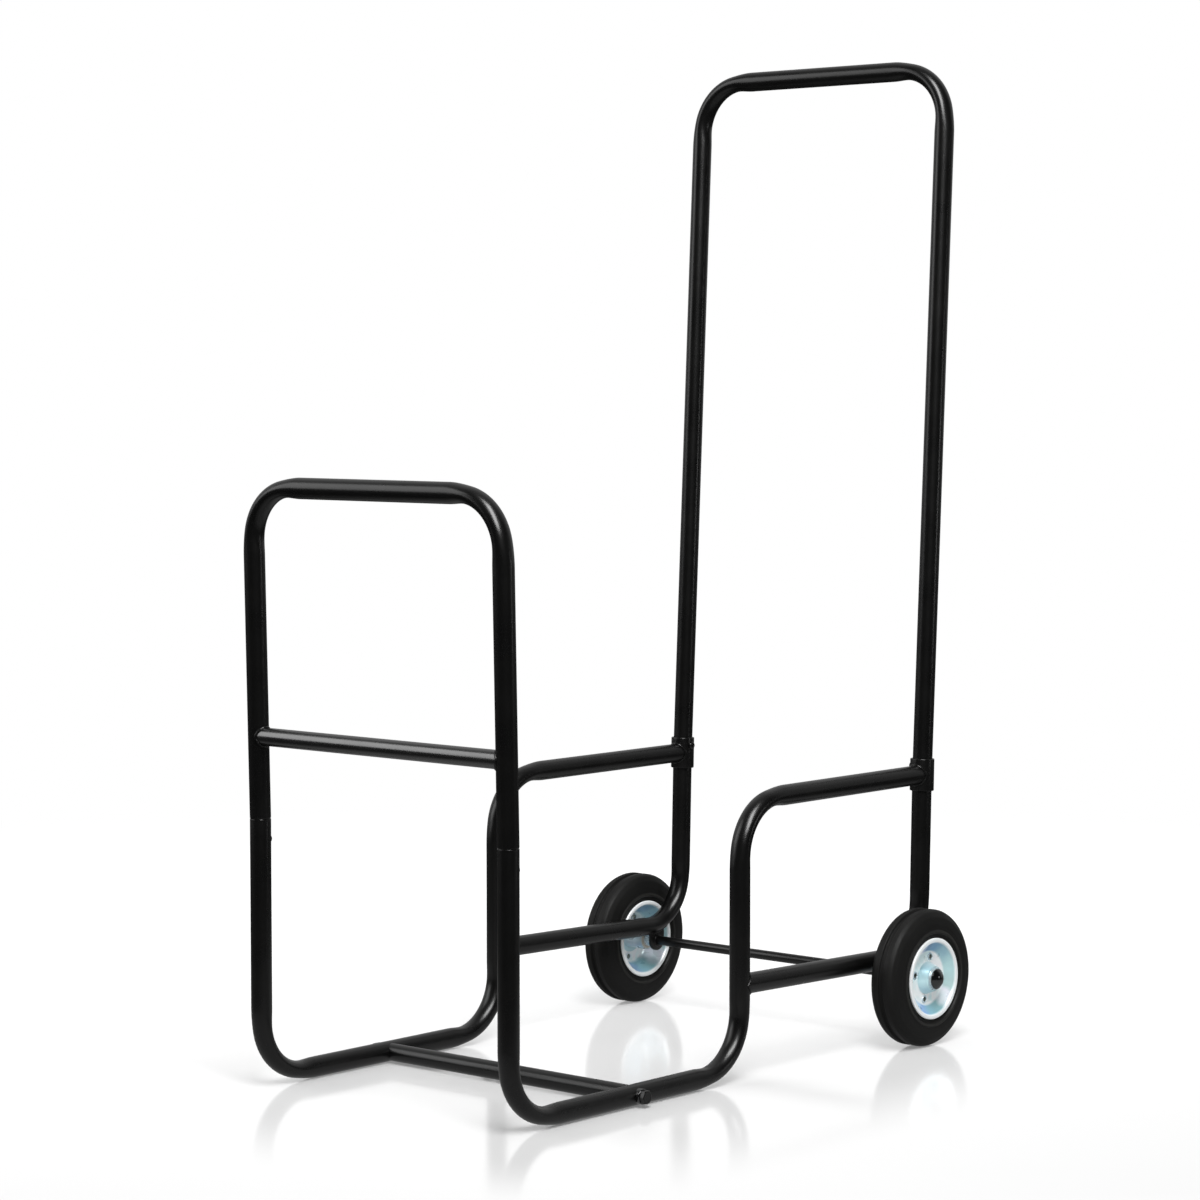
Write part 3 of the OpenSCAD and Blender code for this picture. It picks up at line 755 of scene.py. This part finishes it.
half = HALF_W + WHEEL_OFFSET + CAP_BASE + CAP_H - 1.6
rod = lathe(rounded([(0, -half), (AXLE_R, -half, 0.8), (AXLE_R, half, 0.8), (0, half)], closed=False),
            48, closed=False)
rod = moved(rod, Matrix.Translation((AXLE_X, 0, WHEEL_R)) @ OUTWARD)
piece("axle_look", rod, COAT, ["axle"])
spacers = moved(sleeve(AXLE_R, 8, -HUB_IN - 11.5, -HUB_IN - 0.5, 0.5), ON_WHEEL)
piece("axle_spacers_look", both_sides(spacers), ZINC, ["axle_spacers"])
washers = moved(sleeve(AXLE_R, 12.2, HUB_OUT + 0.5, HUB_OUT + 1.7, 0.35), ON_WHEEL)
piece("axle_washers_look", both_sides(washers), ZINC, ["axle_washers"])

# ---------------------------------------------------------------- wheels

RIVET_PLACES = [(RIVET_CIRCLE_R * math.cos(RIVET_ANGLE + k * math.pi / 2),
                 RIVET_CIRCLE_R * math.sin(RIVET_ANGLE + k * math.pi / 2)) for k in range(RIVETS)]
SHEET_BACK = DISH_FLOOR - SHEET  # where the outer rim's floor lies on the inner one's
RIM_STEPS = 192


def lobes(x, y):
    """Presses the dish's floor down between the pads that carry the rivets."""
    depth, pad_r, pad_slope = 0.35, 6.0, 2.2
    r = math.hypot(x, y)
    if r > 29.5:
        return 0.0
    pads = 0.0
    for px, py in RIVET_PLACES:
        along = (x * px + y * py) / RIVET_CIRCLE_R
        aside = abs(x * py - y * px) / RIVET_CIRCLE_R
        off_pad = math.hypot(aside, max(along - RIVET_CIRCLE_R, 0)) if along > 0 else math.inf
        pads = max(pads, 1 - smooth((off_pad - pad_r) / pad_slope))
    pads = max(pads, 1 - smooth((r - 18.0) / 1.5))
    edge = 1 - smooth((r - 26.5) / 3.0)
    return -depth * (1 - pads) * edge


def radial(r_from, r_to, height, steps):
    return [(r_from + (r_to - r_from) * k / steps, height) for k in range(steps + 1)]


def at_rivets(solid):
    return join(*[moved(solid, Matrix.Translation((x, y, 0))) for x, y in RIVET_PLACES])


def drilled(solid, hole_r=2.8):
    """Cuts the rivets' holes through a half rim."""
    def as_object(points, faces):
        mesh = bpy.data.meshes.new("cut")
        mesh.from_pydata(points, [], faces)
        bm = bmesh.new()
        bm.from_mesh(mesh)
        bmesh.ops.remove_doubles(bm, verts=bm.verts, dist=1e-4)
        bmesh.ops.recalc_face_normals(bm, faces=bm.faces)
        bm.to_mesh(mesh)
        bm.free()
        obj = bpy.data.objects.new("cut", mesh)
        bpy.context.scene.collection.objects.link(obj)
        return obj

    body = as_object(*solid)
    drills = as_object(*at_rivets(lathe([(0, -10), (hole_r, -10), (hole_r, 20), (0, 20)], 32, closed=False)))
    cut = body.modifiers.new("cut", "BOOLEAN")
    cut.operation, cut.solver, cut.object = "DIFFERENCE", "EXACT", drills
    mesh = bpy.data.meshes.new_from_object(body.evaluated_get(bpy.context.evaluated_depsgraph_get()))
    solid = [v.co.copy() for v in mesh.vertices], [tuple(f.vertices) for f in mesh.polygons]
    for obj in (body, drills):
        bpy.data.objects.remove(obj)
    return solid


def tyre_solid():
    """From the rim's channel over the lip's seat, the raised bead ring and the side to the two ribs."""
    half_profile = [
        (32.2, 8.4), (41.4, 16.4), (45.3, 16.4, 0.5), (49.4, 16.9, 1.0), (50.8, 19.0, 0.7), (52.9, 19.1, 0.8),
        (54.2, 18.0, 1.2), (60.0, 17.9, 6.0), (68.0, 16.6, 8.0), (74.2, 13.2, 5.0),
        (WHEEL_R, 9.0, 3.0), (WHEEL_R, 3.5, 1.0), (73.4, 2.5, 0.8)]
    back = [(r, -h, *corner) for r, h, *corner in reversed(half_profile[2:])]
    return lathe(rounded(half_profile + back + [(41.4, -16.4), (32.2, 3.2)]), 160)


def outer_rim():
    """The outer stamping: its neck round the hub, the dish's riveted floor, the wall and the rolled lip."""
    neck_top = DISH_FLOOR + NECK_H
    neck = rounded([(HUB_R, neck_top), (HUB_R + SHEET, neck_top, 0.4), (NECK_R, DISH_FLOOR, 1.6),
                    (19.0, DISH_FLOOR)], closed=False)
    wall = rounded([
        (28.4, DISH_FLOOR), (FLOOR_R + 0.6, DISH_FLOOR + 0.3, 1.5), (39.2, 16.6, 0.8), (40.4, LIP_W, 2.2),
        (LIP_R + 0.2, LIP_W, 2.2), (LIP_R, 16.5, 0.3), (43.8, 16.7), (43.4, 17.4), (41.6, 17.4),
        (40.8, 16.4), (30.0, 7.6), (28.4, SHEET_BACK)], closed=False)
    profile = (neck + radial(19.4, 28.4, DISH_FLOOR, 12) + wall[1:]
               + radial(28.0, NECK_R - 1, SHEET_BACK, 8) + [(HUB_R, neck_top - 3)])
    return drilled(lathe(profile, RIM_STEPS, relief=lobes))


def inner_rim():
    """The inner stamping: a flat floor against the outer one's, the wall and the lip."""
    back = SHEET_BACK - SHEET
    wall = rounded([
        (28.0, SHEET_BACK), (29.0, back), (40.6, -16.5), (41.4, -17.5), (43.4, -17.5), (43.8, -16.7),
        (LIP_R - 0.1, -16.7, 0.3), (LIP_R, -18.0, 0.8), (LIP_R - 0.8, -LIP_W, 0.9), (40.9, -LIP_W, 1.2),
        (39.6, -17.2, 0.8), (FLOOR_R + 0.2, back - 0.6, 1.5), (28.0, back)], closed=False)
    profile = radial(HUB_R, 28.0, SHEET_BACK, 8) + wall[1:-1] + radial(28.0, HUB_R, back, 12)
    return drilled(lathe(profile, RIM_STEPS, relief=lobes))


def rivet_set():
    """Eyelet rivets, rolled over on both faces of the two sheets."""
    return at_rivets(lathe(rounded([
        (2.5, 5.2), (3.1, 4.4, 0.4), (4.2, 4.7, 0.6), (4.5, 5.9), (3.1, 5.9), (3.1, 8.5), (4.5, 8.5),
        (4.3, 9.4, 0.6), (3.2, 9.9, 0.4), (2.5, 8.9)]), 40))


def bushes():
    bore, length = AXLE_R + 0.05, 15
    return join(sleeve(bore, HUB_BORE_R, HUB_OUT - length, HUB_OUT - 0.2, 0.5),
                sleeve(bore, HUB_BORE_R, -HUB_IN + 0.2, -HUB_IN + length, 0.5))


def cap_solid():
    """The hub cap: a short rim and a round dome."""
    dome_r, dome_h = CAP_R - 0.5, CAP_H - 1.6
    ball = (dome_r ** 2 + dome_h ** 2) / (2 * dome_h)
    rim = rounded([(0, CAP_BASE + 0.2), (CAP_R, CAP_BASE, 0.3), (CAP_R, CAP_BASE + 1.1),
                   (CAP_R - 0.1, CAP_BASE + 1.4)], closed=False)
    dome = [(r, CAP_BASE + CAP_H - ball + math.sqrt(ball ** 2 - r ** 2))
            for r in (dome_r * math.cos(math.pi / 2 * k / 12) for k in range(13))]
    return lathe(rim + dome, 72, closed=False)


# The left wheel's solids round local Z, with material, slot and the angle of sharp edges
WHEEL_PARTS = {
    "tyre": (tyre_solid(), RUBBER, "black_rubber", 60),
    "rim_outer": (outer_rim(), RIM_ZINC, ZINC_SLOT, 50),
    "rim_inner": (inner_rim(), RIM_ZINC, ZINC_SLOT, 50),
    "rim_rivets": (rivet_set(), RIVET_ZINC_PAINTED_SHADE, ZINC_SLOT, 50),
    "hub_tube": (sleeve(HUB_BORE_R, HUB_R, -HUB_IN, HUB_OUT, 0.5), ZINC, ZINC_SLOT, 50),
    "hub_bushes": (bushes(), NYLON, "nylon", 50),
    "hub_cap": (cap_solid(), CAP, "black_plastic", 50),
}

for part, (solid, material, slot, sharp) in WHEEL_PARTS.items():
    for side, word in SIDES:
        piece(f"{part}_{word}_look", on_side(moved(solid, ON_WHEEL), side), material,
              [f"{part}_{word}"], centre=(AXLE_X, side * (HALF_W + WHEEL_OFFSET), WHEEL_R), sharp=sharp)

inserts = frame["nodes"]["cross_tube_inserts"]
inserts.data.materials.clear()
inserts.data.materials.append(ZINC)

# ---------------------------------------------------------------- floor, light and camera

scene = bpy.context.scene


def grey(level):
    return level, level, level, 1


def emission(tree, strength):
    return node(tree, "ShaderNodeEmission", {"Strength": strength}).outputs[0]


def background(tree, strength):
    return node(tree, "ShaderNodeBackground", {"Strength": strength, "Color": grey(1)}).outputs[0]


def add_shaders(tree, first, second):
    return node(tree, "ShaderNodeAddShader", {0: first, 1: second}).outputs[0]


def mix_shaders(tree, factor, first, second):
    return node(tree, "ShaderNodeMixShader", {0: factor, 1: first, 2: second}).outputs[0]


def make_floor():
    """A pale, glossy studio floor that the camera sees turn to plain white further out.

    Mirrors see a plain level that falls outwards, and all other rays the floor's paint.
    """
    size, z = 30.0, -0.0004
    footprint = (0.37, 0.22, 0)  # halves of the cart's own length and width
    corners = [(-size, -size, z), (size, -size, z), (size, size, z), (-size, size, z)]
    mesh = bpy.data.meshes.new("floor")
    mesh.from_pydata(corners, [], [(0, 1, 2, 3)])
    floor = bpy.data.objects.new("floor", mesh)
    scene.collection.objects.link(floor)
    material = bpy.data.materials.new("floor")
    material.use_nodes = True
    tree = material.node_tree
    tree.nodes.clear()
    path = node(tree, "ShaderNodeLightPath").outputs
    where = object_place(tree)
    away = vector_maths(tree, "LENGTH", where)
    paint = node(tree, "ShaderNodeBsdfDiffuse", {"Color": grey(0.417)}).outputs[0]

    # A glow makes up for the near lamp's fall-off
    behind = vector_maths(tree, "DOT_PRODUCT", where, (0.63, 0.78, 0))
    glow = emission(tree, remap(tree, behind, 0.01, 0.51, -0.7, 1.3))

    # The cart's mirror image fades into a plain level outside its footprint
    shine = node(tree, "ShaderNodeBsdfGlossy", {"Color": grey(0.6), "Roughness": 0.12}).outputs[0]
    outside = vector_maths(tree, "SUBTRACT", vector_maths(tree, "ABSOLUTE", where), footprint)
    outside = vector_maths(tree, "LENGTH", vector_maths(tree, "MAXIMUM", outside, (0, 0, 0)))
    dulled = remap(tree, outside, 0, 1, 0.05, 0.25, eased=True)
    shine = mix_shaders(tree, dulled, shine, emission(tree, 0.28))

    near = add_shaders(tree, add_shaders(tree, paint, glow), shine)
    far = remap(tree, away, 0, 1, 1.2, 2.2, eased=True)
    shown = mix_shaders(tree, far, near, emission(tree, 1.0))
    reflected = emission(tree, remap(tree, away, 0.32, 0.036, 0.4, 1.1, eased=True))
    mirror = maths(tree, "MAXIMUM", path["Is Glossy Ray"], path["Is Transmission Ray"])
    mix = mix_shaders(tree, mirror, paint, reflected)
    mix = mix_shaders(tree, path["Is Camera Ray"], mix, shown)
    node(tree, "ShaderNodeOutputMaterial", {"Surface": mix})
    mesh.materials.append(material)


def make_world():
    """White to the camera, a plain fill on surfaces, and to mirrors pale behind the cart, dark in front."""
    world = bpy.data.worlds.new("studio")
    world.use_nodes = True
    scene.world = world
    tree = world.node_tree
    tree.nodes.clear()
    path = node(tree, "ShaderNodeLightPath").outputs
    seen = maths(tree, "MAXIMUM", path["Is Camera Ray"], path["Is Transmission Ray"])
    direction = node(tree, "ShaderNodeTexCoord").outputs["Generated"]
    behind = vector_maths(tree, "DOT_PRODUCT", direction, (0.756, 0.654, 0))
    mirrored_level = remap(tree, behind, 0.018, 0.5, -0.1, 0.7, eased=True)
    mix = mix_shaders(tree, path["Is Glossy Ray"], background(tree, 0.6), background(tree, mirrored_level))
    mix = mix_shaders(tree, seen, mix, background(tree, 1.0))
    node(tree, "ShaderNodeOutputWorld", {"Surface": mix})


def area_lamp(name, size, power, place, rotation):
    data = bpy.data.lights.new(name, "AREA")
    data.shape = "RECTANGLE"
    data.size, data.size_y = size
    data.energy = power
    lamp = bpy.data.objects.new(name, data)
    lamp.matrix_world = Matrix.Translation(place) @ rotation.to_4x4()
    scene.collection.objects.link(lamp)


def softbox(name, place, aim, size, power):
    """A lamp that faces the point aim."""
    rotation = (Vector(aim) - Vector(place)).to_track_quat("-Z", "Y").to_matrix()
    area_lamp(name, size, power, place, rotation)


def strip_light(name, low, high, aim, width, power):
    """A long lamp from low to high that faces the point aim."""
    low, high, aim = Vector(low), Vector(high), Vector(aim)
    middle = (low + high) / 2
    along = (high - low).normalized()
    back = middle - aim
    back = (back - along * back.dot(along)).normalized()
    rotation = Matrix((along.cross(back), along, back)).transposed()
    area_lamp(name, (width, (high - low).length), power, middle, rotation)


make_floor()
make_world()
strip_light("strip_near", (-1.68, -2.08, 1.95), (-0.62, -0.77, 3.75), (0, 0, 0.5), 1.2, 120)
softbox("softbox_far", (-3.2, 3.7, 2.6), (0, 0, 0.5), (2.6, 3.6), 62)
softbox("spot_right", (1.5, -2.6, 0.6), (0.2, -0.2, 0.3), (0.3, 0.5), 1.9)

camera = bpy.data.objects.new("camera", bpy.data.cameras.new("camera"))
camera.data.lens = 103.557
camera.data.sensor_width = 36
camera.data.clip_end = 200
camera.location = (-2.81937, -2.4208, 0.7427)
camera.rotation_euler = (math.radians(86.2586), 0, math.radians(-49.125))
scene.collection.objects.link(camera)
scene.camera = camera
scene.view_settings.view_transform = "Standard"
